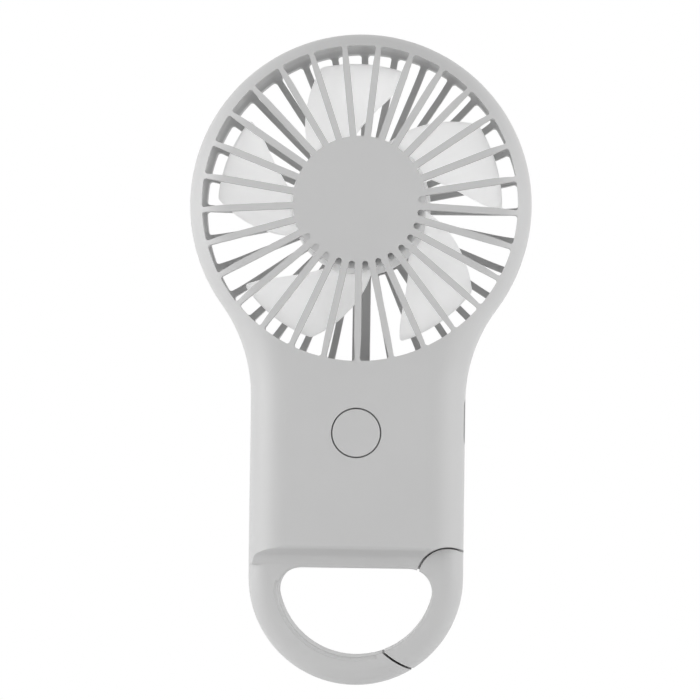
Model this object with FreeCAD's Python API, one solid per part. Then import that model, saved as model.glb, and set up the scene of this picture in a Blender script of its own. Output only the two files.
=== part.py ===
import FreeCAD, Part
import math
import os

from FreeCAD import Vector

# Handheld rechargeable fan with a carabiner loop.
# Millimetres. X is to the right seen from the front, Y runs from front to back, Z is up.
# The origin is the centre of the hand grip, on the parting plane of the two shells.

# Outline of the shells
head_radius = 35.75
head_bottom_z = 18.25
body_half_width = 22.4
neck_radius = 33.0
loop_z = -23.7
body_depth = 25.0
edge_round = 8.0
wall = 1.8
parting_groove_width = 0.3
parting_groove_depth = 0.22
post_root = 0.6
post_skin = 0.4
room_corner_rise = 5.0

# Loop and the ramp that leads down to it
loop_depth = 17.0
loop_band = 6.1
loop_outer_edge_round = 4.2
loop_inner_edge_round = 0.5
hole_top_above_loop = 2.05
hole_corner_radius = 4.8
hole_back_draft = 0.8
rim_land = 0.1
rim_groove_width = 0.85
rim_groove_depth = 0.2
rim_groove_start = 158.0
rim_groove_end = 286.0
ramp_top_above_loop = 6.3
ramp_foot_above_loop = 4.15
ramp_shoulder_radius = 1.2
ramp_foot_radius = 2.5
floor_above_loop = 8.8
loop_root = 1.0

# Carabiner gate
gate_pivot_inset = 3.2
gate_pivot_above_loop = 0.2
gate_head_radius = 6.1
gate_gap = 0.45
gate_reach_past_middle = 0.9
tongue_length = 1.9
tongue_thickness = 3.4
tongue_inset = 0.6
tongue_width = 3.9
tongue_clearance = 0.25
tongue_root = 1.5
pin_radius = 1.0
pin_running_clearance = 0.03
lug_radius = 3.2
lug_thickness = 3.0
lug_clearance = 0.3
lug_root = 0.8
seam_web_radius = 4.8
fork_slot_front = 2.8
fork_slot_radius = 3.8
pin_blind_depth = 1.9
spring_wire_radius = 0.25
spring_coil_radius = 1.55
spring_turns = 2.0
spring_turn_gap = 0.12
spring_clearance = 0.15
spring_fixed_leg = 5.9
spring_moving_leg = 3.2

# Front guard
front_ribs = 29
front_opening_radius = 32.8
front_hub_radius = 13.75
front_rib_width = 1.38
front_rib_tip_width = 0.95
front_rib_taper_start = 28.3
front_window_corner = 0.55
front_window_reach = 3.2
notch_inner_radius = 12.2
notch_width = 1.25
notch_first = 7
notch_last = 19
notch_through_last = 16
notch_shallow_depth = 0.3

# Rear guard
rear_ribs = 32
rear_opening_radius = 33.3
rear_hub_radius = 14.3
rear_rib_width = 1.38
rear_window_corner = 0.65
rear_window_inner_corner = 0.3
rear_window_reach = 4.2
channel_width = 3.7
channel_bore_width = 1.0
channel_bore_depth = 1.9
channel_wall = 0.55
channel_back_skin = 0.05
duct_lip_thickness = 0.8
duct_lip_height = 1.2
lip_clearance = 0.12

# Motor
motor_radius = 12.2
motor_length = 12.3
motor_can_wall = 0.7
motor_edge_round = 0.8
motor_boss_radius = 3.1
motor_boss_height = 0.8
motor_cup_wall = 1.1
motor_cup_clearance = 0.08
motor_cup_height = 9.0
motor_seat_height = 2.0
motor_seat_width = 1.8
shaft_radius = 1.0
shaft_running_clearance = 0.03
bush_radius = 2.2
bush_stand_in = 0.6
shaft_stand_out = 0.9
magnet_thickness = 2.4
magnet_length = 7.6
magnet_front_gap = 1.3
magnet_side_gap = 3.2
air_gap = 0.35
armature_length = 5.6
armature_poles = 3
armature_core_radius = 2.6
armature_arm_width = 2.6
armature_shoe = 1.0
armature_slot_width = 1.6
winding_width = 4.4
winding_start_radius = 3.7
winding_stand_out = 0.8
winding_shoe_gap = 0.6
winding_gap = 0.05
end_cap_thickness = 1.4
commutator_radius = 1.9
commutator_end_gap = 0.2
terminal_height = 1.5
terminal_size = 1.8
terminal_x = 6.0
terminal_drop = 5.0

# Impeller
blade_count = 5
blade_tip_radius = 29.6
blade_thickness = 1.2
blade_first_angle = 25.7
blade_edge_start_radius = 14.6
blade_sweep_per_mm = 1.98
blade_root_span = 38.8
blade_tip_span = 35.9
blade_leading_bow = 5.5
blade_root_depth = 8.6
blade_tip_depth = 6.2
blade_mid_y = -4.2
blade_camber = 0.7
blade_trailing_corner = 1.6
blade_leading_corner = 0.6
hub_radius = 14.6
hub_front_radius = 13.6
hub_draft_length = 6.0
hub_skirt_wall = 1.0
hub_front_wall = 1.0
hub_round = 0.4
hub_gap = 1.0
hub_depth = 10.2
hub_boss_radius = 2.8
hub_boss_length = 3.8

# Button, switch and board
button_z = 6.35
button_radius = 4.95
button_gap = 0.25
button_flange_radius = 6.2
button_flange_thickness = 0.8
button_flange_gap = 0.1
button_travel = 0.5
button_edge_round = 0.25
button_stem_radius = 2.0
button_stem_length = 0.5
plunger_radius = 1.75
plunger_length = 2.2
plunger_clearance = 0.1
plunger_stick_out = 0.7
switch_size = 6.0
switch_corner = 0.4
plunger_end_gap = 0.15
board_front_y = -5.3
board_thickness = 1.0
board_half_width = 15.5
board_top_gap = 1.05
board_bottom_z = -5.0
board_tab_gap = 0.4
board_tab_arm = 1.4
board_post_radius = 1.9
board_post_x = 12.8
board_post_top_z = 13.6
board_post_low_z = -1.8
board_screw_radius = 0.8
board_screw_head_radius = 1.5
board_screw_head_height = 0.9
board_screw_length = 4.5
board_screw_gap = 0.1
board_screw_tip_gap = 0.3

# Charging socket
port_z = 9.0
port_length = 8.94
port_height = 3.2
port_depth = 7.35
port_metal = 0.28
port_recess = 0.35
port_clearance = 0.2
port_slot_reach = 1.5
tongue_plate = 0.7
tongue_plate_width = 6.6
tongue_plate_depth = 5.0
tongue_block_depth = 1.2
socket_board_gap = 0.05

# Battery and leads
battery_boss_gap = 0.5
battery_height = 29.0
battery_thickness = 7.4
battery_corner = 1.2
battery_bottom_z = -14.4
pad_thickness = 1.0
pad_margin = 3.0
lead_radius = 0.4
lead_bend = 1.1
battery_lead_x = 8.0
battery_lead_rise = 0.35
lead_below_duct = 1.7
lead_turn_drop = 9.9
lead_tag_run = 1.5

# Shell screws
boss_radius = 2.4
upper_boss_inset = 4.1
upper_boss_rise = 0.55
lower_boss_inset = 5.0
lower_boss_z = -12.2
screw_radius = 1.0
screw_clearance = 0.15
screw_length = 10.0
screw_head_radius = 1.9
screw_head_height = 1.3
screw_head_round = 0.4
screw_tip_gap = 0.5
counterbore_radius = 2.1
counterbore_depth = 3.2
cross_width = 0.5
cross_length = 2.2
cross_depth = 0.8

# Worked out from the sizes above
half_depth = body_depth / 2
inner_y = half_depth - wall
front_inner_y = -inner_y
loop_half = loop_depth / 2
head_z = head_bottom_z + head_radius
loop_inner_radius = body_half_width - loop_band
gate_pivot_x = body_half_width - gate_pivot_inset
gate_reach = gate_pivot_x + gate_reach_past_middle
gate_pivot_z = loop_z + gate_pivot_above_loop
duct_radius = head_radius - wall
upper_boss_x = body_half_width - upper_boss_inset
upper_boss_z = head_bottom_z + upper_boss_rise
lower_boss_x = body_half_width - lower_boss_inset
battery_half_width = lower_boss_x - boss_radius - battery_boss_gap
floor_z = loop_z + floor_above_loop
hub_front_y = front_inner_y + hub_gap
motor_back_y = inner_y - motor_seat_height
motor_front_y = motor_back_y - motor_length
cup_inner_radius = motor_radius + motor_cup_clearance
cup_outer_radius = cup_inner_radius + motor_cup_wall
board_back_y = board_front_y + board_thickness
port_mouth_x = body_half_width - port_recess
port_y = (board_front_y + board_back_y) / 2
board_top_z = head_bottom_z - board_top_gap
board_tab_x = body_half_width - wall - board_tab_gap
joint_depth = 0.2
cut_margin = 1.0
far = 200.0


def in_plane(x, z, y=0.0):
    return Vector(x, y, z)


def arc_edge(x, z, radius, start, end):
    """Arc in the XZ plane, angles in degrees from +X towards +Z."""
    points = []
    for angle in (start, (start + end) / 2, end):
        a = math.radians(angle)
        points.append(in_plane(x + radius * math.cos(a), z + radius * math.sin(a)))
    return Part.Arc(*points).toShape()


def line_edge(a, b):
    return Part.makeLine(a, b)


def prism(edges, y0, y1):
    """Closed outline in the XZ plane, extruded along Y."""
    face = Part.Face(Part.Wire(Part.__sortEdges__(edges)))
    face.translate(Vector(0, y0, 0))
    return face.extrude(Vector(0, y1 - y0, 0))


def box(x0, x1, y0, y1, z0, z1):
    return Part.makeBox(x1 - x0, y1 - y0, z1 - z0, Vector(x0, y0, z0))


def cylinder(radius, y0, y1, x=0.0, z=0.0):
    return Part.makeCylinder(radius, y1 - y0, Vector(x, y0, z), Vector(0, 1, 0))


def on_axis(radius, y0, y1):
    """Cylinder on the fan's own axis."""
    return cylinder(radius, y0, y1, 0.0, head_z)


def turned(shape, degrees):
    """Copy turned about the fan's axis, clockwise seen from the front."""
    copy = shape.copy()
    copy.rotate(Vector(0, 0, head_z), Vector(0, 1, 0), degrees)
    return copy


def edges_at(shape, test):
    return [edge for edge in shape.Edges if test(edge)]


def along_y(edge):
    a = edge.Vertexes[0].Point
    b = edge.Vertexes[-1].Point
    return abs(a.x - b.x) < 1e-6 and abs(a.z - b.z) < 1e-6 and abs(a.y - b.y) > 1e-3


def at_depth(edge, depth):
    box_of_edge = edge.BoundBox
    return abs(box_of_edge.YMin - depth) < 1e-4 and abs(box_of_edge.YMax - depth) < 1e-4


def rounded_edges(points, bends):
    """Straight runs joined by tangent arcs. One bend radius for each inner point."""
    edges = []
    start = points[0]
    for i, bend in enumerate(bends):
        before, corner, after = points[i], points[i + 1], points[i + 2]
        d1 = (corner - before).normalize()
        d2 = (after - corner).normalize()
        half_turn = d1.getAngle(d2) / 2
        back = bend * math.tan(half_turn)
        first = corner - d1 * back
        last = corner + d2 * back
        inward = (d2 - d1).normalize()
        middle = corner + inward * (bend / math.cos(half_turn) - bend)
        edges.append(line_edge(start, first))
        edges.append(Part.Arc(first, middle, last).toShape())
        start = last
    edges.append(line_edge(start, points[-1]))
    return edges


def tube(points, bends, radius):
    path = Part.Wire(rounded_edges(points, bends))
    ring = Part.Wire([Part.makeCircle(radius, points[0], points[1] - points[0])])
    return path.makePipeShell([ring], True, True)


def single(shape):
    """The one solid of a shape, with split faces joined."""
    cleaned = shape.removeSplitter()
    if len(cleaned.Solids) == 1:
        return cleaned.Solids[0]
    return cleaned


# Outline shared by the shells

def outline(inset=0.0):
    """Head circle, concave neck, straight sides and round bottom, all moved in by inset."""
    neck_x = body_half_width + neck_radius
    reach = head_radius + neck_radius
    neck_drop = math.sqrt(reach ** 2 - neck_x ** 2)
    neck_z = head_z - neck_drop
    lean = math.degrees(math.atan2(neck_drop, neck_x))
    head = head_radius - inset
    neck = neck_radius + inset
    side = body_half_width - inset
    return [
        arc_edge(0, head_z, head, -lean, 180 + lean),
        arc_edge(-neck_x, neck_z, neck, 0, lean),
        line_edge(in_plane(-side, neck_z), in_plane(-side, loop_z)),
        arc_edge(0, loop_z, side, 180, 360),
        line_edge(in_plane(side, loop_z), in_plane(side, neck_z)),
        arc_edge(neck_x, neck_z, neck, 180 - lean, 180),
    ]


def body_solid(inset=0.0):
    """The full outline at full depth with its round edges."""
    depth = half_depth - inset
    solid = prism(outline(inset), -depth, depth)
    edges = edges_at(solid, lambda e: at_depth(e, depth) or at_depth(e, -depth))
    return solid.makeFillet(edge_round - inset, edges)


def ramp_profile():
    """The front ramp seen from the side, from its shoulder to its smooth foot."""
    proud = 0.03
    sunk = 0.02
    front_y = -half_depth - proud
    face_y = -loop_half + sunk
    top_z = loop_z + ramp_top_above_loop
    foot_z = loop_z + ramp_foot_above_loop
    lean = math.atan2(face_y - front_y, top_z - foot_z)
    end_z = foot_z - ramp_foot_radius * math.tan(lean / 2) - sunk
    points = [
        Vector(0, front_y, top_z + ramp_shoulder_radius * 2),
        Vector(0, front_y, top_z),
        Vector(0, face_y, foot_z),
        Vector(0, face_y, end_z),
    ]
    return rounded_edges(points, [ramp_shoulder_radius, ramp_foot_radius]), points


def ramp_cutter():
    """Everything below the ramps, so that the thick body ends above the loop."""
    edges, front = ramp_profile()
    back = [Vector(0, -p.y, p.z) for p in front]
    mirror = FreeCAD.Matrix(1, 0, 0, 0, 0, -1, 0, 0, 0, 0, 1, 0, 0, 0, 0, 1)
    edges += [edge.transformGeometry(mirror) for edge in edges]
    corners = [
        back[0],
        Vector(0, far, back[0].z),
        Vector(0, far, -far),
        Vector(0, -far, -far),
        Vector(0, -far, front[0].z),
        front[0],
    ]
    for a, b in zip(corners, corners[1:]):
        edges.append(line_edge(a, b))
    edges.append(line_edge(front[-1], back[-1]))
    face = Part.Face(Part.Wire(Part.__sortEdges__(edges)))
    face.translate(Vector(-far, 0, 0))
    return face.extrude(Vector(2 * far, 0, 0))


def hole_corner():
    """Centre of the hole's right corner arc from the loop's centre, and the angle it ends at."""
    z = hole_top_above_loop - hole_corner_radius
    x = math.sqrt((loop_inner_radius - hole_corner_radius) ** 2 - z ** 2)
    return x, z, math.degrees(math.atan2(z, x))


def hole_outline(growth=0.0):
    """The D-shaped hole: a round bottom and a flat top joined by corner arcs."""
    corner_x, corner_z, lean = hole_corner()
    top = loop_z + hole_top_above_loop + growth
    corner = hole_corner_radius + growth
    return [
        arc_edge(0, loop_z, loop_inner_radius + growth, 180 - lean, 360 + lean),
        arc_edge(corner_x, loop_z + corner_z, corner, lean, 90),
        line_edge(in_plane(corner_x, top), in_plane(-corner_x, top)),
        arc_edge(-corner_x, loop_z + corner_z, corner, 90, 180 - lean),
    ]


def hole_cutter():
    """Straight through the front half, then drafted wider up to the back face."""
    past = loop_half + cut_margin
    steep = hole_back_draft / loop_half
    rings = []
    for y, growth in ((0, 0), (past, steep * past)):
        ring = Part.Wire(Part.__sortEdges__(hole_outline(growth)))
        ring.translate(Vector(0, y, 0))
        rings.append(ring)
    return [prism(hole_outline(), -past, 0), Part.makeLoft(rings, True, True)]


def loop_solid():
    """The whole ring of the loop, gate included, with its rounded rims."""
    side = body_half_width
    top = floor_z + loop_root
    ring = prism([
        line_edge(in_plane(-side, top), in_plane(-side, loop_z)),
        arc_edge(0, loop_z, side, 180, 360),
        line_edge(in_plane(side, loop_z), in_plane(side, top)),
        line_edge(in_plane(side, top), in_plane(-side, top)),
    ], -loop_half, loop_half)

    def outer_rim(edge):
        flat_top = edge.BoundBox.ZMin > top - 1e-3
        return (at_depth(edge, loop_half) or at_depth(edge, -loop_half)) and not flat_top

    ring = ring.makeFillet(loop_outer_edge_round, edges_at(ring, outer_rim))
    ring = ring.cut(hole_cutter())

    def inner_rim(edge):
        reach = edge.BoundBox
        spare = hole_back_draft + 0.1
        widest = loop_inner_radius + spare
        inside = reach.XMax < widest and reach.XMin > -widest
        low = reach.ZMax < loop_z + hole_top_above_loop + spare
        low = low and reach.ZMin > loop_z - widest
        return inside and low and (at_depth(edge, loop_half) or at_depth(edge, -loop_half))

    return ring.makeFillet(loop_inner_edge_round, edges_at(ring, inner_rim))


def groove_sweep(x, z, rim, start, end):
    """Groove section turned about a centre, angles in degrees from +X towards +Z."""
    proud = 0.01
    front_y = -loop_half - proud
    inner = x + rim + rim_land
    middle = inner + rim_groove_width / 2
    outer = inner + rim_groove_width
    corners = [
        Vector(inner, front_y, z),
        Vector(inner, front_y - cut_margin, z),
        Vector(outer, front_y - cut_margin, z),
        Vector(outer, front_y, z),
    ]
    edges = [line_edge(a, b) for a, b in zip(corners, corners[1:])]
    deepest = Vector(middle, rim_groove_depth - loop_half, z)
    edges.append(Part.Arc(corners[-1], deepest, corners[0]).toShape())
    section = Part.Face(Part.Wire(edges))
    centre = Vector(x, 0, z)
    section.rotate(centre, Vector(0, -1, 0), start)
    return section.revolve(centre, Vector(0, -1, 0), end - start)


def rim_groove():
    """Shallow round-bottomed groove along the fixed rim of the hole."""
    corner_x, corner_z, lean = hole_corner()
    meet = 180 - lean
    corner = groove_sweep(-corner_x, loop_z + corner_z, hole_corner_radius,
                          rim_groove_start, meet)
    return [corner, groove_sweep(0, loop_z, loop_inner_radius, meet, rim_groove_end)]


def gate_plan(growth):
    """The gate's share of the loop: a round head at the pivot and the arm below it."""
    head = cylinder(gate_head_radius + growth, -far, far, gate_pivot_x, gate_pivot_z)
    arm = cylinder(gate_reach + growth, -far, far, gate_pivot_x, gate_pivot_z)
    arm = arm.common(box(0, far, -far, far, -far, gate_pivot_z))
    return head.fuse(arm)


def tongue_plan(clearance):
    """The lap tongue past the gate's end, which slides into the fixed end of the loop."""
    inner = loop_inner_radius + tongue_inset
    outer = inner + tongue_width
    half = tongue_thickness / 2 + clearance
    band = cylinder(outer + clearance, -half, half, 0, loop_z)
    if clearance == 0:
        band = band.cut(cylinder(inner, -half, half, 0, loop_z))
    reach = gate_reach + tongue_length + clearance
    band = band.common(cylinder(reach, -half, half, gate_pivot_x, gate_pivot_z))
    band = band.cut(cylinder(gate_reach - tongue_root, -half, half, gate_pivot_x, gate_pivot_z))
    return band.common(box(0, far, -half, half, -far, gate_pivot_z - gate_head_radius))


def parting_groove():
    """Fine groove round the outside and round the hole, where the two shells meet."""
    half = parting_groove_width / 2
    around = prism(outline(-cut_margin), -half, half)
    around = around.cut(prism(outline(parting_groove_depth), -half, half))
    return [around, prism(hole_outline(parting_groove_depth), -half, half)]


def outer_form(loop):
    """Both shells as one block: thick body, ramps and fixed part of the loop."""
    thick = body_solid().cut(ramp_cutter())
    block = thick.fuse(loop)
    block = block.cut(gate_plan(gate_gap))
    return block.cut([tongue_plan(tongue_clearance)] + rim_groove() + parting_groove())


def head_cavity():
    """The round air duct inside the head."""
    duct = on_axis(duct_radius, front_inner_y, inner_y)
    rims = edges_at(duct, lambda e: at_depth(e, inner_y) or at_depth(e, front_inner_y))
    return duct.makeFillet(edge_round - wall, rims)


def body_cavity():
    """The room for battery and board, below the duct wall and above the loop."""
    room = body_solid(wall)
    room = room.cut(on_axis(head_radius, -far, far))
    corner_z = head_bottom_z + room_corner_rise
    room = room.cut(box(-far, far, -far, far, corner_z, far))
    return room.cut(box(-far, far, -far, far, -far, floor_z))


# Guards

def rib_flank(radius, width, half_pitch):
    """Point on a rib's right flank seen from the window on its left."""
    s = math.sqrt(radius ** 2 - (width / 2) ** 2)
    x = s * math.sin(half_pitch) - width / 2 * math.cos(half_pitch)
    z = s * math.cos(half_pitch) + width / 2 * math.sin(half_pitch)
    return x, z


def window(count, inner, outer, stations, corner, inner_corner, y0, y1):
    """One opening between two ribs, centred at twelve o'clock."""
    half_pitch = math.pi / count
    right = []
    for radius, width in stations:
        x, z = rib_flank(radius, width, half_pitch)
        right.append(in_plane(x, head_z + z))
    left = [in_plane(-p.x, p.z) for p in right]
    edges = []
    for side in (right, left):
        for a, b in zip(side, side[1:]):
            edges.append(line_edge(a, b))
    edges.append(Part.Arc(left[0], in_plane(0, head_z + inner), right[0]).toShape())
    edges.append(Part.Arc(left[-1], in_plane(0, head_z + outer), right[-1]).toShape())
    cutter = prism(edges, y0, y1)

    def at_end(edge, point):
        return along_y(edge) and abs(abs(edge.Vertexes[0].X) - abs(point.x)) < 1e-4 \
            and abs(edge.Vertexes[0].Z - point.z) < 1e-4

    cutter = cutter.makeFillet(corner, edges_at(cutter, lambda e: at_end(e, right[-1])))
    if inner_corner:
        ends = edges_at(cutter, lambda e: at_end(e, right[0]))
        cutter = cutter.makeFillet(inner_corner, ends)
    return cutter


def front_windows():
    stations = [
        (front_hub_radius, front_rib_width),
        (front_rib_taper_start, front_rib_width),
        (front_opening_radius, front_rib_tip_width),
    ]
    one = window(front_ribs, front_hub_radius, front_opening_radius, stations,
                 front_window_corner, 0, -half_depth - cut_margin,
                 front_inner_y + front_window_reach)
    return [turned(one, k * 360 / front_ribs) for k in range(front_ribs)]


def notch(depth_y):
    half = notch_width / 2
    arch_z = head_z + notch_inner_radius + half
    top_z = head_z + front_hub_radius + cut_margin
    edges = [
        arc_edge(0, arch_z, half, 180, 360),
        line_edge(in_plane(half, arch_z), in_plane(half, top_z)),
        line_edge(in_plane(half, top_z), in_plane(-half, top_z)),
        line_edge(in_plane(-half, top_z), in_plane(-half, arch_z)),
    ]
    return prism(edges, -half_depth - cut_margin, depth_y)


def front_notches():
    """Arched inner ends of the lower windows, the outermost ones only shallow."""
    through = notch(front_inner_y + cut_margin)
    shallow = notch(-half_depth + notch_shallow_depth)
    notches = []
    for k in range(notch_first, notch_last + 1):
        deep = notch_first < k <= notch_through_last
        notches.append(turned(through if deep else shallow, k * 360 / front_ribs))
    return notches


def rear_windows():
    stations = [(rear_hub_radius, rear_rib_width), (rear_opening_radius, rear_rib_width)]
    one = window(rear_ribs, rear_hub_radius, rear_opening_radius, stations,
                 rear_window_corner, rear_window_inner_corner,
                 inner_y - rear_window_reach, half_depth + cut_margin)
    return [turned(one, (k + 0.5) * 360 / rear_ribs) for k in range(rear_ribs)]


# Screw places

def shell_screw_places():
    return [
        (upper_boss_x, upper_boss_z),
        (-upper_boss_x, upper_boss_z),
        (lower_boss_x, lower_boss_z),
        (-lower_boss_x, lower_boss_z),
    ]


def board_screw_places():
    return [
        (-board_post_x, board_post_top_z),
        (-board_post_x, board_post_low_z),
        (board_post_x, board_post_low_z),
    ]


def inside_body(shape):
    """Trimmed to the outer surface, so that nothing stands out of a rounded edge."""
    return shape.common(body_solid(post_skin))


# Shells

def front_shell(block, duct, room):
    half = block.common(box(-far, far, -far, 0, -far, far))
    half = half.cut([duct, room])
    half = half.cut(front_windows())
    half = half.cut(front_notches())
    rebate = on_axis(duct_radius + duct_lip_thickness + lip_clearance,
                     -duct_lip_height - lip_clearance, 0)
    half = half.cut(rebate)
    posts = []
    for x, z in shell_screw_places():
        posts.append(cylinder(boss_radius, front_inner_y - post_root, 0, x, z))
    for x, z in board_screw_places():
        posts.append(cylinder(board_post_radius, front_inner_y - post_root, board_front_y, x, z))
    half = half.fuse([inside_body(post) for post in posts])
    holes = [cylinder(button_radius + button_gap, -far, front_inner_y + joint_depth, 0, button_z)]
    blind_y = head_of_screw_y() - screw_length - screw_tip_gap
    for x, z in shell_screw_places():
        holes.append(cylinder(screw_radius, blind_y, cut_margin, x, z))
    for x, z in board_screw_places():
        tip = board_back_y - board_screw_length - board_screw_tip_gap
        holes.append(cylinder(board_screw_radius, tip, board_front_y + cut_margin, x, z))
    holes.append(port_slot(port_clearance, body_half_width - wall - port_slot_reach, far))
    return single(half.cut(holes))


def head_of_screw_y():
    """Under side of a shell screw's head, on the floor of its counterbore."""
    return half_depth - counterbore_depth


def lug(loop):
    """Hinge knuckle that carries the gate's pin, and the web that closes the seam over it."""
    z = gate_pivot_z
    root = gate_head_radius + gate_gap + lug_root
    plate = box(gate_pivot_x - lug_radius, gate_pivot_x + lug_radius, 0, lug_thickness, z, z + root)
    knuckle = cylinder(lug_radius, 0, lug_thickness, gate_pivot_x, z)
    web = cylinder(root, 0, lug_thickness, gate_pivot_x, z)
    web = web.cut(cylinder(seam_web_radius, -far, far, gate_pivot_x, z))
    web = web.common(box(-far, far, -far, far, z, far)).common(loop)
    return plate.fuse([knuckle, web])


def channel_back_y():
    """Back of the lead bore, just inside the back wall."""
    return inner_y - channel_back_skin


def lead_channel():
    """The deep rib at six o'clock that hides the motor's leads."""
    front_y = channel_back_y() - channel_bore_depth - channel_wall
    rib = box(-channel_width / 2, channel_width / 2, front_y, half_depth,
              head_z - duct_radius - post_root, head_z - cup_inner_radius - joint_depth)
    return inside_body(rib)


def channel_bore():
    half = channel_bore_width / 2
    return box(-half, half, channel_back_y() - channel_bore_depth, channel_back_y(),
               head_bottom_z - cut_margin,
               head_z - cup_inner_radius + motor_seat_width + cut_margin)


def rear_shell(block, duct, room, loop):
    half = block.common(box(-far, far, 0, far, -far, far))
    half = half.cut([duct, room])
    half = half.cut(rear_windows())
    lip = on_axis(duct_radius + duct_lip_thickness, -duct_lip_height, joint_depth)
    lip = lip.cut(on_axis(duct_radius, -far, far))
    cup_front = half_depth - wall - motor_cup_height
    cup = on_axis(cup_outer_radius, cup_front, half_depth - post_skin)
    cup = cup.cut(on_axis(cup_inner_radius, -far, motor_back_y))
    cup = cup.cut(on_axis(cup_inner_radius - motor_seat_width, -far, inner_y))
    bosses = []
    for x, z in shell_screw_places():
        bosses.append(inside_body(cylinder(boss_radius, 0, half_depth, x, z)))
    half = half.fuse([lip, cup, lug(loop), lead_channel()] + bosses)
    holes = [channel_bore()]
    holes.append(cylinder(pin_radius + pin_running_clearance, -far, far,
                          gate_pivot_x, gate_pivot_z))
    for x, z in shell_screw_places():
        holes.append(cylinder(screw_radius + screw_clearance, -cut_margin, far, x, z))
        holes.append(cylinder(counterbore_radius, head_of_screw_y(), far, x, z))
    return single(half.cut(holes))


# Gate and hinge

def carabiner_gate(loop):
    gate = loop.common(gate_plan(0))
    gate = gate.fuse(tongue_plan(0))
    back = lug_thickness + lug_clearance
    z = gate_pivot_z
    slot = box(0, far, -fork_slot_front, back, z, far)
    slot = slot.fuse(cylinder(fork_slot_radius, -fork_slot_front, back, gate_pivot_x, z))
    bore = cylinder(pin_radius, -loop_half + pin_blind_depth, far, gate_pivot_x, z)
    return single(gate.cut([slot, bore]))


def gate_pin():
    start = -loop_half + pin_blind_depth
    return cylinder(pin_radius, start, loop_half, gate_pivot_x, gate_pivot_z)


def gate_spring():
    """Torsion spring beside the lug, with one leg up and one along the arm."""
    pitch = spring_wire_radius * 2 + spring_turn_gap
    height = pitch * spring_turns
    start = Vector(spring_coil_radius, 0, 0)
    end = Vector(spring_coil_radius, 0, height)
    along = Vector(0, 1, pitch / (2 * math.pi * spring_coil_radius)).normalize()
    foot = start - along * spring_fixed_leg
    tip = end + along * spring_moving_leg
    coil = Part.makeHelix(pitch, height, spring_coil_radius)
    path = Part.Wire([line_edge(foot, start)] + coil.Edges + [line_edge(end, tip)])
    ring = Part.Wire([Part.makeCircle(spring_wire_radius, foot, along)])
    spring = path.makePipeShell([ring], True, True)
    spring.rotate(Vector(0, 0, 0), Vector(1, 0, 0), -90)
    lean = spring_fixed_leg * along.z
    front = -fork_slot_front + spring_wire_radius + spring_clearance + lean
    spring.translate(Vector(gate_pivot_x, front, gate_pivot_z))
    return spring


# Impeller

def polar(radius, degrees, y):
    """Point by radius and clockwise angle from the top, seen from the front."""
    a = math.radians(degrees)
    return Vector(radius * math.sin(a), y, head_z + radius * math.cos(a))


def blade_angle(radius, u):
    """Angle at a share u of the blade's width, from its trailing edge to its leading edge."""
    out = radius - blade_edge_start_radius
    share = out / (blade_tip_radius - blade_edge_start_radius)
    span = blade_root_span + (blade_tip_span - blade_root_span) * share
    span += blade_leading_bow * 4 * share * (1 - share)
    return blade_first_angle + blade_sweep_per_mm * out + span * u


def blade_y(radius, u):
    share = (radius - hub_radius) / (blade_tip_radius - hub_radius)
    depth = blade_root_depth + (blade_tip_depth - blade_root_depth) * share
    bow = blade_camber * 4 * u * (1 - u)
    return blade_mid_y + depth * (u - 0.5) + bow


def blade_sheet():
    """Curved plate, wider than the blade, which the blade's outline is cut from."""
    margin = 0.12
    steps = 6
    root = hub_front_radius - hub_skirt_wall
    tip = blade_tip_radius + cut_margin
    sides = []
    for shift in (-blade_thickness / 2, blade_thickness / 2):
        rows = []
        for i in range(steps + 1):
            radius = root + (tip - root) * i / steps
            row = []
            for j in range(steps + 1):
                u = -margin + (1 + 2 * margin) * j / steps
                row.append(polar(radius, blade_angle(radius, u), blade_y(radius, u) + shift))
            rows.append(row)
        surface = Part.BSplineSurface()
        surface.interpolate(rows)
        sides.append(surface.toShape())
    front, back = sides
    faces = [front, back]
    for i in range(4):
        faces.append(Part.makeRuledSurface(front.Edges[i], back.Edges[i]))
    shell = Part.makeShell(faces)
    shell.sewShape()
    solid = Part.Solid(Part.Shell(shell.Faces))
    if solid.Volume < 0:
        solid.reverse()
    return solid


def blade_outline():
    """Planform prism of one blade with its two rounded tip corners."""
    steps = 5
    root = hub_front_radius - hub_skirt_wall / 2
    edges = []
    for u in (0.0, 1.0):
        points = []
        for i in range(steps + 1):
            radius = root + (blade_tip_radius - root) * i / steps
            points.append(polar(radius, blade_angle(radius, u), 0))
        curve = Part.BSplineCurve()
        curve.interpolate(points)
        edges.append(curve.toShape())
    for radius in (root, blade_tip_radius):
        arc = [polar(radius, blade_angle(radius, u), 0) for u in (0.0, 0.5, 1.0)]
        edges.append(Part.Arc(*arc).toShape())
    plan = prism(edges, -far, far)

    def tip_corner(edge, u):
        corner = polar(blade_tip_radius, blade_angle(blade_tip_radius, u), 0)
        first = edge.Vertexes[0].Point
        return along_y(edge) and abs(first.x - corner.x) < 0.01 and abs(first.z - corner.z) < 0.01

    plan = plan.makeFillet(blade_trailing_corner, edges_at(plan, lambda e: tip_corner(e, 0.0)))
    return plan.makeFillet(blade_leading_corner, edges_at(plan, lambda e: tip_corner(e, 1.0)))


def hub_form(inset, front_y, back_y):
    """The hub's drafted front and straight skirt, with its sides moved in by inset."""
    skirt_y = hub_front_y + hub_draft_length
    nose = Part.makeCone(hub_front_radius - inset, hub_radius - inset, skirt_y - front_y,
                         Vector(0, front_y, head_z), Vector(0, 1, 0))
    return nose.fuse(on_axis(hub_radius - inset, skirt_y, back_y))


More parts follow.
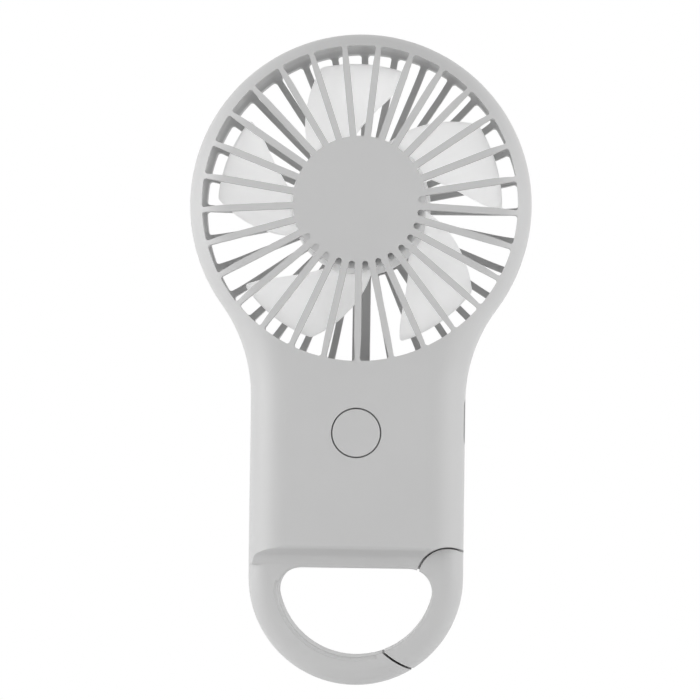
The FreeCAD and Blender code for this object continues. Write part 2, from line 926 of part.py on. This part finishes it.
def impeller():
    hub = hub_form(0, hub_front_y, hub_front_y + hub_depth)
    hub = hub.makeFillet(hub_round, edges_at(hub, lambda e: at_depth(e, hub_front_y)))
    blade = blade_sheet().common(blade_outline())
    blades = [turned(blade, k * 360 / blade_count) for k in range(blade_count)]
    hollow_y = hub_front_y + hub_front_wall
    hub = hub.fuse(blades).cut(hub_form(hub_skirt_wall, hollow_y, far))
    hub = hub.fuse(on_axis(hub_boss_radius, hollow_y - joint_depth, hollow_y + hub_boss_length))
    return single(hub.cut(on_axis(shaft_radius, hollow_y, far)))


def motor_shaft():
    return on_axis(shaft_radius, hub_front_y + hub_front_wall, motor_back_y + shaft_stand_out)


# Motor

def motor_can():
    can = on_axis(motor_radius, motor_front_y, motor_back_y)
    can = can.makeFillet(motor_edge_round, edges_at(can, lambda e: at_depth(e, motor_front_y)))
    can = can.fuse(on_axis(motor_boss_radius, motor_front_y - motor_boss_height,
                           motor_front_y + joint_depth))
    inside = motor_radius - motor_can_wall
    can = can.cut(on_axis(inside, motor_front_y + motor_can_wall, far))
    return single(can.cut(on_axis(bush_radius, -far, far)))


def motor_bushes():
    front = on_axis(bush_radius, motor_front_y - motor_boss_height,
                    motor_front_y + motor_can_wall + bush_stand_in)
    back = on_axis(bush_radius, motor_back_y - end_cap_thickness, motor_back_y)
    bore = on_axis(shaft_radius + shaft_running_clearance, -far, far)
    return Part.makeCompound([front.cut(bore), back.cut(bore)])


def motor_end_cap():
    cap = on_axis(motor_radius - motor_can_wall, motor_back_y - end_cap_thickness, motor_back_y)
    return cap.cut(on_axis(bush_radius, -far, far))


def magnet_start_y():
    return motor_front_y + motor_can_wall + magnet_front_gap


def motor_magnets():
    """Two arc magnets against the can, with a gap at each side."""
    outer = motor_radius - motor_can_wall
    start = magnet_start_y()
    ring = on_axis(outer, start, start + magnet_length)
    ring = ring.cut(on_axis(outer - magnet_thickness, -far, far))
    half = magnet_side_gap / 2
    return ring.cut(box(-half, half, -far, far, -far, far))


def armature_radius():
    return motor_radius - motor_can_wall - magnet_thickness - air_gap


def armature_start_y():
    return magnet_start_y() + (magnet_length - armature_length) / 2


def motor_armature():
    """Laminated core with one T-shaped pole for each winding."""
    outer = armature_radius()
    start = armature_start_y()
    end = start + armature_length
    shoe = on_axis(outer, start, end).cut(on_axis(outer - armature_shoe, -far, far))
    arm_half = armature_arm_width / 2
    slot_half = armature_slot_width / 2
    slots = []
    arms = [on_axis(armature_core_radius, start, end)]
    for k in range(armature_poles):
        angle = k * 360 / armature_poles
        arm = box(-arm_half, arm_half, start, end, head_z, head_z + outer - armature_shoe / 2)
        gap = box(-slot_half, slot_half, start, end, head_z + outer - 2 * armature_shoe, far)
        arms.append(turned(arm, angle))
        slots.append(turned(gap, angle + 180 / armature_poles))
    core = shoe.cut(slots).fuse(arms)
    return single(core.cut(on_axis(shaft_radius, -far, far)))


def motor_windings():
    """One coil round each arm of the core."""
    outer = armature_radius()
    start = armature_start_y()
    end = start + armature_length
    half = winding_width / 2
    hollow = armature_arm_width / 2 + winding_gap
    last = outer - armature_shoe - winding_shoe_gap
    coils = []
    for k in range(armature_poles):
        around = box(-half, half, start - winding_stand_out, end + winding_stand_out,
                     head_z + winding_start_radius, head_z + last)
        around = around.cut(box(-hollow, hollow, start - winding_gap, end + winding_gap,
                                head_z, head_z + outer))
        coils.append(turned(around, k * 360 / armature_poles))
    return Part.makeCompound(coils)


def commutator():
    start = armature_start_y() + armature_length + winding_gap
    ring = on_axis(commutator_radius, start, motor_back_y - end_cap_thickness - commutator_end_gap)
    return ring.cut(on_axis(shaft_radius, -far, far))


def motor_terminals():
    """Two solder tags on the end cap."""
    tags = []
    for side in (-1, 1):
        x = side * terminal_x
        z = head_z - terminal_drop
        half = terminal_size / 2
        tags.append(box(x - half, x + half, motor_back_y, motor_back_y + terminal_height,
                        z - half, z + half))
    return Part.makeCompound(tags)


# Button and switch

def button_cap():
    flange_front = front_inner_y + button_flange_gap
    cap = cylinder(button_radius, -half_depth, flange_front + joint_depth, 0, button_z)
    cap = cap.makeFillet(button_edge_round, edges_at(cap, lambda e: at_depth(e, -half_depth)))
    flange_back = flange_front + button_flange_thickness
    cap = cap.fuse(cylinder(button_flange_radius, flange_front, flange_back, 0, button_z))
    stem = cylinder(button_stem_radius, flange_back - joint_depth, button_back_y(), 0, button_z)
    return single(cap.fuse(stem))


def button_back_y():
    return front_inner_y + button_flange_gap + button_flange_thickness + button_stem_length


def switch_front_y():
    return button_back_y() + plunger_stick_out


def switch_plunger():
    start = button_back_y()
    return cylinder(plunger_radius, start, start + plunger_length, 0, button_z)


def switch_body():
    half = switch_size / 2
    body = box(-half, half, switch_front_y(), board_front_y, button_z - half, button_z + half)
    corners = edges_at(body, along_y)
    body = body.makeFillet(switch_corner, corners)
    pocket_end = button_back_y() + plunger_length + button_travel + plunger_end_gap
    pocket = cylinder(plunger_radius + plunger_clearance, -far, pocket_end, 0, button_z)
    return body.cut(pocket)


# Board and what is on it

def circuit_board():
    board = box(-board_half_width, board_half_width, board_front_y, board_back_y,
                board_bottom_z, board_top_z)
    reach = port_length / 2 + board_tab_arm
    tab = box(0, board_tab_x, board_front_y, board_back_y, port_z - reach, port_z + reach)
    board = board.fuse(tab)
    holes = [cylinder(board_screw_radius + board_screw_gap, -far, far, x, z)
             for x, z in board_screw_places()]
    holes.append(port_slot(socket_board_gap, port_back_x() - socket_board_gap, far))
    return single(board.cut(holes))


def board_screws():
    screws = []
    for x, z in board_screw_places():
        shank = cylinder(board_screw_radius, board_back_y - board_screw_length,
                         board_back_y + joint_depth, x, z)
        head = cylinder(board_screw_head_radius, board_back_y,
                        board_back_y + board_screw_head_height, x, z)
        screws.append(single(head.fuse(shank)))
    return Part.makeCompound(screws)


def board_parts():
    """Charging chip, motor driver, coil and small parts on the back of the board.

    Each row is a place from the button's centre, then width, height and thickness.
    """
    y = board_back_y
    rows = [
        (-4.2, 3.05, 4.9, 3.9, 1.5),
        (3.4, 2.45, 3.0, 3.0, 1.1),
        (-4.6, -3.75, 4.0, 4.0, 2.0),
        (2.6, -3.35, 2.9, 1.6, 1.0),
        (7.6, -5.15, 2.0, 1.25, 0.9),
        (-9.6, 0.05, 2.0, 1.25, 0.9),
        (-9.6, -3.15, 1.6, 0.8, 0.5),
    ]
    parts = []
    for x, rise, width, height, tall in rows:
        z = button_z + rise
        parts.append(box(x - width / 2, x + width / 2, y, y + tall, z - height / 2, z + height / 2))
    return Part.makeCompound(parts)


def stadium(length, height, x0, x1):
    """Oval bar along X, long in Z, centred on the charging port."""
    radius = height / 2
    straight = length / 2 - radius
    ends = []
    for side in (-1, 1):
        ends.append(Part.makeCylinder(radius, x1 - x0,
                                      Vector(x0, port_y, port_z + side * straight),
                                      Vector(1, 0, 0)))
    middle = box(x0, x1, port_y - radius, port_y + radius, port_z - straight, port_z + straight)
    return single(middle.fuse(ends))


def port_slot(growth, x0, x1):
    return stadium(port_length + 2 * growth, port_height + 2 * growth, x0, x1)


def port_back_x():
    return port_mouth_x - port_depth


def usb_shell():
    back_x = port_back_x()
    shell = stadium(port_length, port_height, back_x, port_mouth_x)
    inner = stadium(port_length - 2 * port_metal, port_height - 2 * port_metal,
                    back_x + port_metal, far)
    return shell.cut(inner)


def usb_tongue():
    back_x = port_back_x() + port_metal
    half = tongue_plate / 2
    width = tongue_plate_width / 2
    block = stadium(port_length - 2 * port_metal, port_height - 2 * port_metal,
                    back_x, back_x + tongue_block_depth)
    blade = box(back_x, back_x + tongue_block_depth + tongue_plate_depth, port_y - half, port_y + half,
                port_z - width, port_z + width)
    return single(block.fuse(blade))


# Battery

def battery_back_y():
    return inner_y - pad_thickness


def battery_pouch():
    back = battery_back_y()
    half = battery_half_width
    cell = box(-half, half, back - battery_thickness, back,
               battery_bottom_z, battery_bottom_z + battery_height)
    return cell.makeFillet(battery_corner, cell.Edges)


def battery_pad():
    half = battery_half_width - pad_margin
    return box(-half, half, battery_back_y(), inner_y,
               battery_bottom_z + pad_margin, battery_bottom_z + battery_height - pad_margin)


def battery_lead(side):
    x = side * battery_lead_x
    y = battery_back_y() - battery_thickness / 2
    top = battery_bottom_z + battery_height
    turn_z = top + lead_bend + battery_lead_rise
    points = [Vector(x, y, top), Vector(x, y, turn_z), Vector(x, board_back_y, turn_z)]
    return tube(points, [lead_bend], lead_radius)


def motor_lead(side):
    """From the board, up through the channel and to one solder tag."""
    step = channel_bore_depth / 2
    y = channel_back_y() - step + side * step / 2
    down_z = head_bottom_z - lead_below_duct - side * step / 2
    tag_x = side * terminal_x
    tag_z = head_z - terminal_drop - terminal_size / 2
    points = [
        Vector(0, board_back_y, down_z),
        Vector(0, y, down_z),
        Vector(0, y, head_z - lead_turn_drop),
        Vector(tag_x, y, tag_z - lead_tag_run),
        Vector(tag_x, y, tag_z),
    ]
    return tube(points, [lead_bend] * 3, lead_radius)


# Fasteners

def shell_screws():
    screws = []
    seat = head_of_screw_y()
    for x, z in shell_screw_places():
        shank = cylinder(screw_radius, seat - screw_length, seat + joint_depth, x, z)
        head = cylinder(screw_head_radius, seat, seat + screw_head_height, x, z)
        top = seat + screw_head_height
        rim = edges_at(head, lambda e: at_depth(e, top))
        head = head.makeFillet(screw_head_round, rim)
        cross = []
        for wide, tall in ((cross_length, cross_width), (cross_width, cross_length)):
            cross.append(box(x - wide / 2, x + wide / 2, top - cross_depth, far,
                             z - tall / 2, z + tall / 2))
        screws.append(single(head.fuse(shank).cut(cross)))
    return Part.makeCompound(screws)


def main():
    os.makedirs("parts", exist_ok=True)
    loop = loop_solid()
    block = outer_form(loop)
    duct = head_cavity()
    room = body_cavity()
    nodes = {
        "front_shell": front_shell(block, duct, room),
        "rear_shell": rear_shell(block, duct, room, loop),
        "impeller": impeller(),
        "motor_shaft": motor_shaft(),
        "motor_can": motor_can(),
        "motor_bushes": motor_bushes(),
        "motor_end_cap": motor_end_cap(),
        "motor_magnets": motor_magnets(),
        "motor_armature": motor_armature(),
        "motor_windings": motor_windings(),
        "motor_commutator": commutator(),
        "motor_terminals": motor_terminals(),
        "motor_lead_red": motor_lead(1),
        "motor_lead_black": motor_lead(-1),
        "button_cap": button_cap(),
        "switch_plunger": switch_plunger(),
        "switch_body": switch_body(),
        "circuit_board": circuit_board(),
        "board_parts": board_parts(),
        "board_screws": board_screws(),
        "usb_shell": usb_shell(),
        "usb_tongue": usb_tongue(),
        "battery_pouch": battery_pouch(),
        "battery_pad": battery_pad(),
        "battery_lead_red": battery_lead(1),
        "battery_lead_black": battery_lead(-1),
        "carabiner_gate": carabiner_gate(loop),
        "gate_pin": gate_pin(),
        "gate_spring": gate_spring(),
        "shell_screws": shell_screws(),
    }
    for name, shape in nodes.items():
        shape.exportStep(f"parts/{name}.step")
        print(name, "solids", len(shape.Solids), "volume", round(shape.Volume, 2),
              "valid", shape.isValid())


main()
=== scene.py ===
import math

import bmesh
import bpy
from mathutils import Matrix, Vector


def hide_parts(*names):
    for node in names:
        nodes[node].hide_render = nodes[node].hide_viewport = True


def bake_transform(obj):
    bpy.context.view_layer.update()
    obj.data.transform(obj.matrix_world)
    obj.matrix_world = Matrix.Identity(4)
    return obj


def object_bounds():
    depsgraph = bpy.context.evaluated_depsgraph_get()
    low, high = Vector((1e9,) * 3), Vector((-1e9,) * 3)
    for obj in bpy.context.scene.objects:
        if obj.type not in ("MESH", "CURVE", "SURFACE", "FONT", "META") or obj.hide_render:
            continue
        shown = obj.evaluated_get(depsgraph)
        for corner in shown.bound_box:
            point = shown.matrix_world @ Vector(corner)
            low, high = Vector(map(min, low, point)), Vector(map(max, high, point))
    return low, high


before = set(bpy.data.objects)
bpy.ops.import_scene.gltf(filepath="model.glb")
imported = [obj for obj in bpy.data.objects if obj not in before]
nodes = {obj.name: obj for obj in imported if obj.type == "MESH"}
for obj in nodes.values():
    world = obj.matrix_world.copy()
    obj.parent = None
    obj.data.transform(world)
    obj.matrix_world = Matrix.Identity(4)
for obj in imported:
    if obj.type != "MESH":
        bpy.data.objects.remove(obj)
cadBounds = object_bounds()
print("frame loaded:", len(nodes), "nodes")


# Shader helpers

def newMaterial(name):
    material = bpy.data.materials.new(name)
    material.use_nodes = True
    tree = material.node_tree
    shader = tree.nodes["Principled BSDF"]
    return material, tree, shader


def link(tree, source, target):
    tree.links.new(source, target)


def addToScene(name, data):
    holder = bpy.data.objects.new(name, data)
    bpy.context.scene.collection.objects.link(holder)
    return holder


def faceTowards(place, aim):
    # matrix that puts a lamp or camera at place and points it at aim
    turn = (aim - place).to_track_quat("-Z", "Y")
    return Matrix.Translation(place) @ turn.to_matrix().to_4x4()


def distanceFrom(tree, vector):
    length = tree.nodes.new("ShaderNodeVectorMath")
    length.operation = "LENGTH"
    link(tree, vector, length.inputs[0])
    return length.outputs["Value"]


def anyRay(tree, names):
    # 1 for a ray of any of the named kinds
    rays = tree.nodes.new("ShaderNodeLightPath")
    seen = rays.outputs[names[0]]
    for name in names[1:]:
        either = tree.nodes.new("ShaderNodeMath")
        either.operation = "MAXIMUM"
        link(tree, seen, either.inputs[0])
        link(tree, rays.outputs[name], either.inputs[1])
        seen = either.outputs["Value"]
    return seen


# Finishes

grainPlan = {"detail": 3.0, "roughness": 0.65, "mottleDetail": 2.0}


def mouldGrainGroup():
    # fine spark texture of a mould: a height for the bump and a slow mottle
    group = bpy.data.node_groups.new("mouldGrain", "ShaderNodeTree")
    face = group.interface
    face.new_socket("Scale", in_out="INPUT", socket_type="NodeSocketFloat")
    face.new_socket("Mottle Scale", in_out="INPUT", socket_type="NodeSocketFloat")
    face.new_socket("Height", in_out="OUTPUT", socket_type="NodeSocketFloat")
    face.new_socket("Mottle", in_out="OUTPUT", socket_type="NodeSocketFloat")
    inside = group.nodes.new("NodeGroupInput")
    outside = group.nodes.new("NodeGroupOutput")
    place = group.nodes.new("ShaderNodeTexCoord")
    fine = group.nodes.new("ShaderNodeTexNoise")
    fine.inputs["Detail"].default_value = grainPlan["detail"]
    fine.inputs["Roughness"].default_value = grainPlan["roughness"]
    slow = group.nodes.new("ShaderNodeTexNoise")
    slow.inputs["Detail"].default_value = grainPlan["mottleDetail"]
    link(group, place.outputs["Object"], fine.inputs["Vector"])
    link(group, place.outputs["Object"], slow.inputs["Vector"])
    link(group, inside.outputs["Scale"], fine.inputs["Scale"])
    link(group, inside.outputs["Mottle Scale"], slow.inputs["Scale"])
    link(group, fine.outputs["Fac"], outside.inputs["Height"])
    link(group, slow.outputs["Fac"], outside.inputs["Mottle"])
    return group


mouldGrain = mouldGrainGroup()
mottleFrom, mottleTo = 0.3, 0.7  # the part of the mottle that the finishes use
glossSpread = 0.04  # how far the mottle moves the roughness either way


def shade(tree, factor, low, high):
    # colour that runs from low to high with the mottle
    ramp = tree.nodes.new("ShaderNodeValToRGB")
    first, last = ramp.color_ramp.elements
    first.position, last.position = mottleFrom, mottleTo
    first.color = (*low, 1)
    last.color = (*high, 1)
    link(tree, factor, ramp.inputs["Fac"])
    return ramp.outputs["Color"]


def span(tree, factor, low, high):
    # number that runs from low to high with the mottle
    reach = tree.nodes.new("ShaderNodeMapRange")
    reach.inputs["From Min"].default_value = mottleFrom
    reach.inputs["From Max"].default_value = mottleTo
    reach.inputs["To Min"].default_value = low
    reach.inputs["To Max"].default_value = high
    link(tree, factor, reach.inputs["Value"])
    return reach.outputs["Result"]


def paintedBladeGlow(tree, look):
    # painted glow: emission standing in for the light that the thin white blades and the hollow
    # hub's skirt would pass on, by distance from the shaft, and none on the hub's front, which
    # lies in the guard's shade
    place = tree.nodes.new("ShaderNodeTexCoord")
    flat = tree.nodes.new("ShaderNodeMapping")
    flat.inputs["Location"].default_value = (0, 0, -look["shaftHeight"])
    flat.inputs["Scale"].default_value = (1, 0, 1)
    link(tree, place.outputs["Object"], flat.inputs["Vector"])
    share = tree.nodes.new("ShaderNodeMapRange")
    share.inputs["From Min"].default_value = 0.0
    share.inputs["From Max"].default_value = look["bladeReach"]
    link(tree, distanceFrom(tree, flat.outputs["Vector"]), share.inputs["Value"])
    ramp = tree.nodes.new("ShaderNodeValToRGB")
    steps = ramp.color_ramp.elements
    for distance, level in look["glowSteps"]:
        stop = steps.new(distance / look["bladeReach"])
        stop.color = (level, level, level, 1)
    steps.remove(steps[0])
    steps.remove(steps[len(steps) - 1])
    link(tree, share.outputs["Result"], ramp.inputs["Fac"])
    return ramp.outputs["Color"]


def finish(name, look):
    # every finish: base colour with a faint mottle, uneven gloss and a fine grain
    material, tree, shader = newMaterial(name)
    grain = tree.nodes.new("ShaderNodeGroup")
    grain.node_tree = mouldGrain
    grain.inputs["Scale"].default_value = look["grainScale"]
    grain.inputs["Mottle Scale"].default_value = look["mottleScale"]
    mottle = grain.outputs["Mottle"]
    colour = Vector(look["colour"])
    vary = look["mottle"]
    link(tree, shade(tree, mottle, colour * (1 - vary), colour * (1 + vary)),
         shader.inputs["Base Color"])
    rough = look["roughness"]
    link(tree, span(tree, mottle, rough - glossSpread, rough + glossSpread),
         shader.inputs["Roughness"])
    bump = tree.nodes.new("ShaderNodeBump")
    bump.inputs["Strength"].default_value = look["grainStrength"]
    bump.inputs["Distance"].default_value = look["grainDepth"]
    link(tree, grain.outputs["Height"], bump.inputs["Height"])
    link(tree, bump.outputs["Normal"], shader.inputs["Normal"])
    shader.inputs["Metallic"].default_value = look["metallic"]
    shader.inputs["IOR"].default_value = look["ior"]
    # the impeller also scatters light under its surface and gets a painted glow from emission
    if "glowSteps" in look:
        shader.inputs["Subsurface Weight"].default_value = look["scatter"]
        shader.inputs["Subsurface Radius"].default_value = (1, 1, 1)
        shader.inputs["Subsurface Scale"].default_value = look["scatterDepth"]
        link(tree, paintedBladeGlow(tree, look), shader.inputs["Emission Color"])
        shader.inputs["Emission Strength"].default_value = 1.0
    return material


# lengths in metres, grain and mottle scales in cells a metre
shellLook = {
    "colour": (0.50, 0.50, 0.50),
    "metallic": 0.0,
    "ior": 1.5,
    "roughness": 0.46,
    "mottle": 0.012,
    "mottleScale": 60.0,
    "grainScale": 5200.0,
    "grainStrength": 0.35,
    "grainDepth": 0.00004,
}
# glowSteps: painted glow, emission level by distance from the shaft, standing in for light
# through the blades and hub skirt
impellerLook = dict(shellLook, colour=(0.92, 0.92, 0.92), roughness=0.4, mottle=0.006,
                    grainStrength=0.12, scatter=1.0, scatterDepth=0.01, shaftHeight=0.054,
                    bladeReach=0.032, glowSteps=[(0.0134, 0.0), (0.0137, 0.12),
                                                 (0.0146, 0.12), (0.0152, 0.19)])
buttonLook = dict(shellLook, roughness=0.42)
blackLook = dict(shellLook, colour=(0.03, 0.03, 0.03), mottle=0.1, roughness=0.5)
steelLook = dict(shellLook, colour=(0.60, 0.60, 0.60), metallic=1.0, roughness=0.3,
                 mottle=0.05, grainStrength=0.1)
zincLook = dict(steelLook, colour=(0.62, 0.63, 0.65), roughness=0.34)
coreLook = dict(steelLook, colour=(0.30, 0.30, 0.31), roughness=0.45)
ferriteLook = dict(shellLook, colour=(0.06, 0.06, 0.06), roughness=0.6, mottle=0.2)
bronzeLook = dict(steelLook, colour=(0.62, 0.45, 0.25), roughness=0.35)
copperLook = dict(steelLook, colour=(0.72, 0.38, 0.22), roughness=0.3)
boardLook = dict(shellLook, colour=(0.02, 0.12, 0.05), roughness=0.3, mottle=0.15)
foilLook = dict(steelLook, colour=(0.66, 0.67, 0.68), roughness=0.38, grainStrength=0.3)
foamLook = dict(shellLook, colour=(0.05, 0.05, 0.05), roughness=0.9, mottle=0.3,
                grainScale=2500.0, grainStrength=0.9)
redLook = dict(shellLook, colour=(0.55, 0.02, 0.02), roughness=0.4)
leadBlackLook = dict(shellLook, colour=(0.025, 0.025, 0.025), roughness=0.4)

finishes = {
    "shellPlastic": (shellLook, ["front_shell", "rear_shell"]),
    "gatePlastic": (shellLook, ["carabiner_gate"]),
    "buttonPlastic": (buttonLook, ["button_cap"]),
    "impellerPlastic": (impellerLook, ["impeller"]),
    "blackPlastic": (blackLook, ["motor_end_cap", "switch_plunger", "switch_body",
                                 "board_parts", "usb_tongue"]),
    "plainSteel": (steelLook, ["motor_shaft", "board_screws", "gate_pin", "gate_spring",
                               "shell_screws"]),
    "zincSteel": (zincLook, ["motor_can", "usb_shell"]),
    "coreSteel": (coreLook, ["motor_armature"]),
    "ferrite": (ferriteLook, ["motor_magnets"]),
    "bronze": (bronzeLook, ["motor_bushes", "motor_terminals"]),
    "copper": (copperLook, ["motor_windings", "motor_commutator"]),
    "boardGreen": (boardLook, ["circuit_board"]),
    "batteryFoil": (foilLook, ["battery_pouch"]),
    "foam": (foamLook, ["battery_pad"]),
    "leadRed": (redLook, ["motor_lead_red", "battery_lead_red"]),
    "leadBlack": (leadBlackLook, ["motor_lead_black", "battery_lead_black"]),
}


def dress(nodeName, material):
    piece = nodes[nodeName]
    piece.data.materials.clear()
    piece.data.materials.append(material)


for materialName, (look, members) in finishes.items():
    material = finish(materialName, look)
    for nodeName in members:
        dress(nodeName, material)
print("finishes made:", len(finishes))


# Gate spring

# the wire's diameter, and how far each straight leg runs on along the coil's axis
springPlan = {"wire": 0.0005, "fixedLean": 0.000375, "movingLean": 0.0002, "mergeWithin": 1e-6}


def makeGateSpring():
    # copy of the spring's mesh with its doubled points merged, shown in place of the node; its
    # upper leg sits on the shell, its lower one on the gate
    mesh = nodes["gate_spring"].data.copy()
    work = bmesh.new()
    work.from_mesh(mesh)
    bmesh.ops.remove_doubles(work, verts=work.verts, dist=springPlan["mergeWithin"])
    work.to_mesh(mesh)
    work.free()
    spring = addToScene("gateSpring", mesh)
    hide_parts("gate_spring")
    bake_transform(spring)


makeGateSpring()
print("gate spring made")


# Floor and surroundings

floorPlan = {
    "radius": 2.5,
    "segments": 96,
    "drop": 0.028,  # below the object's lowest point
    "colour": (0.88, 0.88, 0.88),
    "roughness": 0.9,
    "clearFrom": 0.16,
    "clearTo": 0.24,
}


def floorMaterial():
    # pale where the shadow falls, fading to plain white for the camera further out
    material, tree, shader = newMaterial("floorPaper")
    shader.inputs["Base Color"].default_value = (*floorPlan["colour"], 1)
    shader.inputs["Roughness"].default_value = floorPlan["roughness"]
    shader.inputs["Specular IOR Level"].default_value = 0.0
    place = tree.nodes.new("ShaderNodeTexCoord")
    fade = tree.nodes.new("ShaderNodeMapRange")
    fade.inputs["From Min"].default_value = floorPlan["clearFrom"]
    fade.inputs["From Max"].default_value = floorPlan["clearTo"]
    link(tree, distanceFrom(tree, place.outputs["Object"]), fade.inputs["Value"])
    both = tree.nodes.new("ShaderNodeMath")
    both.operation = "MULTIPLY"
    link(tree, anyRay(tree, ["Is Camera Ray", "Is Glossy Ray"]), both.inputs[0])
    link(tree, fade.outputs["Result"], both.inputs[1])
    glow = tree.nodes.new("ShaderNodeEmission")
    mix = tree.nodes.new("ShaderNodeMixShader")
    link(tree, both.outputs["Value"], mix.inputs["Fac"])
    link(tree, shader.outputs["BSDF"], mix.inputs[1])
    link(tree, glow.outputs["Emission"], mix.inputs[2])
    link(tree, mix.outputs["Shader"], tree.nodes["Material Output"].inputs["Surface"])
    return material


def makeFloor():
    low = min(cadBounds[0][2], cadBounds[1][2])
    mesh = bpy.data.meshes.new("floor")
    work = bmesh.new()
    bmesh.ops.create_circle(work, cap_ends=True, segments=floorPlan["segments"],
                            radius=floorPlan["radius"])
    bmesh.ops.translate(work, verts=work.verts, vec=(0, 0, low - floorPlan["drop"]))
    work.to_mesh(mesh)
    work.free()
    floor = addToScene("floor", mesh)
    mesh.materials.append(floorMaterial())


# strength of the light from in front and from behind, and the share of +Y it changes over
worldPlan = {"front": 0.59, "back": 1.0, "from": -0.1, "to": 0.7}


def makeWorld():
    # plain white to the eye, lighting the object more from behind than from the front
    world = bpy.data.worlds.new("studio")
    bpy.context.scene.world = world
    world.use_nodes = True
    tree = world.node_tree
    fill = tree.nodes["Background"]
    fill.inputs["Color"].default_value = (1, 1, 1, 1)
    place = tree.nodes.new("ShaderNodeTexCoord")
    split = tree.nodes.new("ShaderNodeSeparateXYZ")
    link(tree, place.outputs["Generated"], split.inputs["Vector"])
    rise = tree.nodes.new("ShaderNodeMapRange")
    rise.inputs["From Min"].default_value = worldPlan["from"]
    rise.inputs["From Max"].default_value = worldPlan["to"]
    rise.inputs["To Min"].default_value = worldPlan["front"]
    rise.inputs["To Max"].default_value = worldPlan["back"]
    link(tree, split.outputs["Y"], rise.inputs["Value"])
    link(tree, rise.outputs["Result"], fill.inputs["Strength"])
    clear = tree.nodes.new("ShaderNodeBackground")
    clear.inputs["Color"].default_value = (1, 1, 1, 1)
    clear.inputs["Strength"].default_value = 1.0
    mix = tree.nodes.new("ShaderNodeMixShader")
    seen = anyRay(tree, ["Is Camera Ray", "Is Glossy Ray", "Is Transmission Ray"])
    link(tree, seen, mix.inputs["Fac"])
    link(tree, fill.outputs["Background"], mix.inputs[1])
    link(tree, clear.outputs["Background"], mix.inputs[2])
    link(tree, mix.outputs["Shader"], tree.nodes["World Output"].inputs["Surface"])


lampAim = Vector((0, 0, 0.02))
lampPlan = {  # gloss: whether the panel itself shows in shiny surfaces
    "leftPanel": {"place": (-0.56, -0.2, 0.02), "size": (0.5, 0.7), "watts": 3.4, "gloss": True},
    "rightPanel": {"place": (0.56, -0.2, 0.02), "size": (0.5, 0.7), "watts": 2.5, "gloss": True},
    "backPanel": {"place": (0, 0.6, 0.1), "size": (0.7, 0.7), "watts": 2.5, "gloss": False},
}


def makeLamps():
    for name, plan in lampPlan.items():
        lamp = bpy.data.lights.new(name, "AREA")
        lamp.shape = "RECTANGLE"
        lamp.size, lamp.size_y = plan["size"]
        lamp.energy = plan["watts"]
        holder = addToScene(name, lamp)
        holder.visible_glossy = plan["gloss"]
        holder.matrix_world = faceTowards(Vector(plan["place"]), lampAim)


cameraPlan = {
    "place": (0.0221, -0.6132, 0.0065),
    "aim": (-0.0015, -0.0125, 0.02343),
    "lens": 150.0,
    "filmWidth": 36.0,
    "roll": 0.78,  # degrees
    "nearest": 0.01,
}


def makeCamera():
    lens = bpy.data.cameras.new("camera")
    lens.lens = cameraPlan["lens"]
    lens.sensor_width = cameraPlan["filmWidth"]
    lens.clip_start = cameraPlan["nearest"]
    holder = addToScene("camera", lens)
    roll = Matrix.Rotation(math.radians(cameraPlan["roll"]), 4, "Z")
    straight = faceTowards(Vector(cameraPlan["place"]), Vector(cameraPlan["aim"]))
    holder.matrix_world = straight @ roll
    bpy.context.scene.camera = holder


makeFloor()
makeWorld()
makeLamps()
makeCamera()
bpy.context.scene.view_settings.view_transform = "Standard"
print("studio made")
